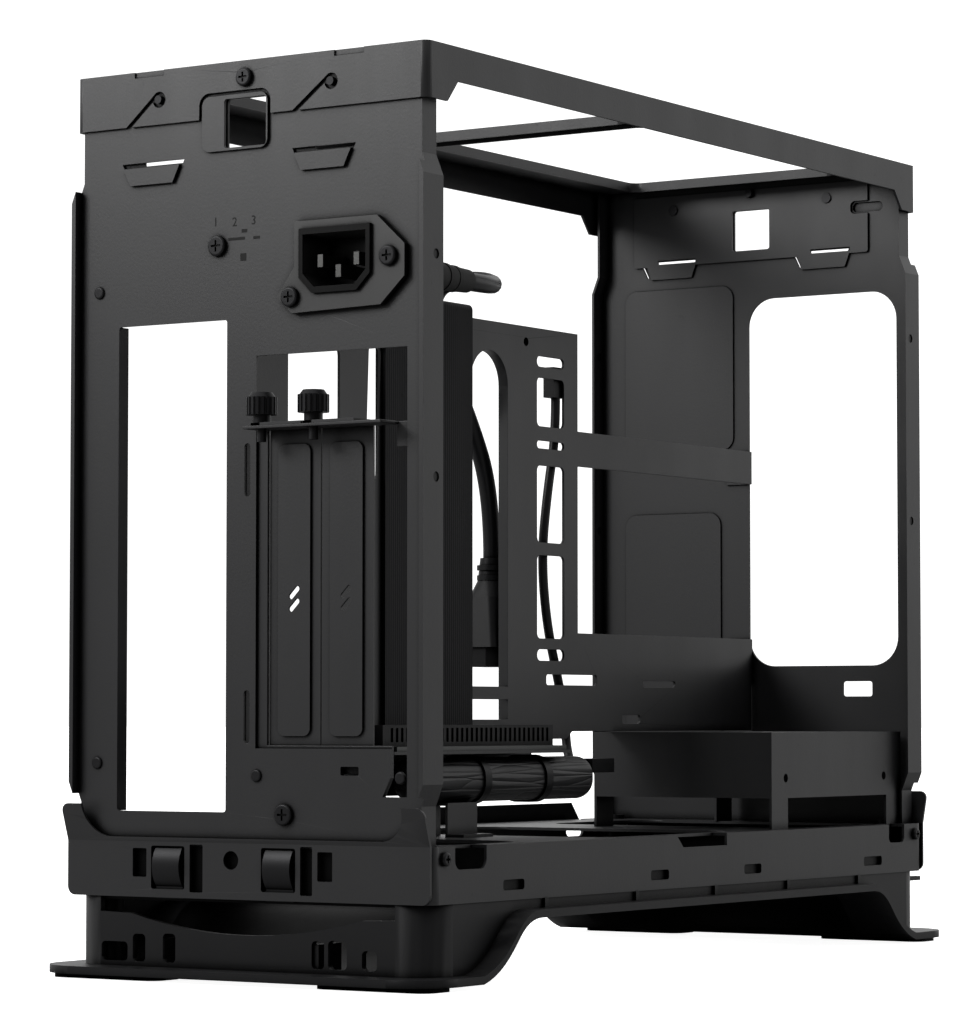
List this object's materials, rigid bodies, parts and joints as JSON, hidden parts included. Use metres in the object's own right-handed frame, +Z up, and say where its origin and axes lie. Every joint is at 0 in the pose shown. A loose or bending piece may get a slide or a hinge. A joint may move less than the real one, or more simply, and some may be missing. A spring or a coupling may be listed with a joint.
{
  "type": "computer case",
  "caption": "Tall narrow mini-ITX computer case with its outer shell off: folded steel frame, spine sheet, slot covers, mains inlet and moulded base.",
  "frame": {"origin": "middle of the footprint, on the surface that the four foot pads stand on", "axes": "+Z up; +Y towards the rear panel with the slots, ports and mains inlet; +X towards the main board's side"},
  "size_m": [0.158, 0.358, 0.297],
  "materials": {
    "black_powder_coat": "satin",
    "black_moulding": "matte",
    "black_rubber": "matte",
    "blackened_steel": "satin",
    "plated_steel": "satin",
    "board_laminate": "satin",
    "cable_sheath": "satin"
  },
  "bodies": {
    "root": {"top_frame": "black_powder_coat", "rear_panel": "black_powder_coat", "front_panel": "black_powder_coat", "rear_hook_plate": "black_powder_coat", "front_hook_plate": "black_powder_coat", "base_tray": "black_powder_coat", "base_moulding": "black_moulding", "foot_pads": "black_rubber", "spine": "black_powder_coat", "board_standoffs": "plated_steel", "slot_bracket": "black_powder_coat", "slot_cover_1": "black_powder_coat", "slot_cover_2": "black_powder_coat", "slot_thumbscrews": "blackened_steel", "inlet_housing": "black_moulding", "inlet_pins": "plated_steel", "inlet_screws": "blackened_steel", "inlet_boot": "black_rubber", "mains_lead": "cable_sheath", "mains_plug": "black_moulding", "extender_bracket": "black_powder_coat", "extender_socket_board": "board_laminate", "extender_socket": "black_moulding", "extender_ribbon": "cable_sheath", "extender_edge_plug": "board_laminate", "drive_cage": "black_powder_coat", "cable_hank": "cable_sheath", "hank_ties": "black_moulding", "cable_saddle": "black_powder_coat", "front_plug": "black_moulding", "front_io_lead": "cable_sheath", "front_io_plug": "black_moulding", "rear_shell_clips": "blackened_steel", "front_shell_clips": "blackened_steel", "guide_pins": "blackened_steel", "top_frame_screws": "blackened_steel", "spine_lock_screws": "blackened_steel", "panel_rivets": "blackened_steel", "side_screws": "blackened_steel", "base_screws": "blackened_steel"}
  },
  "joints": []
}
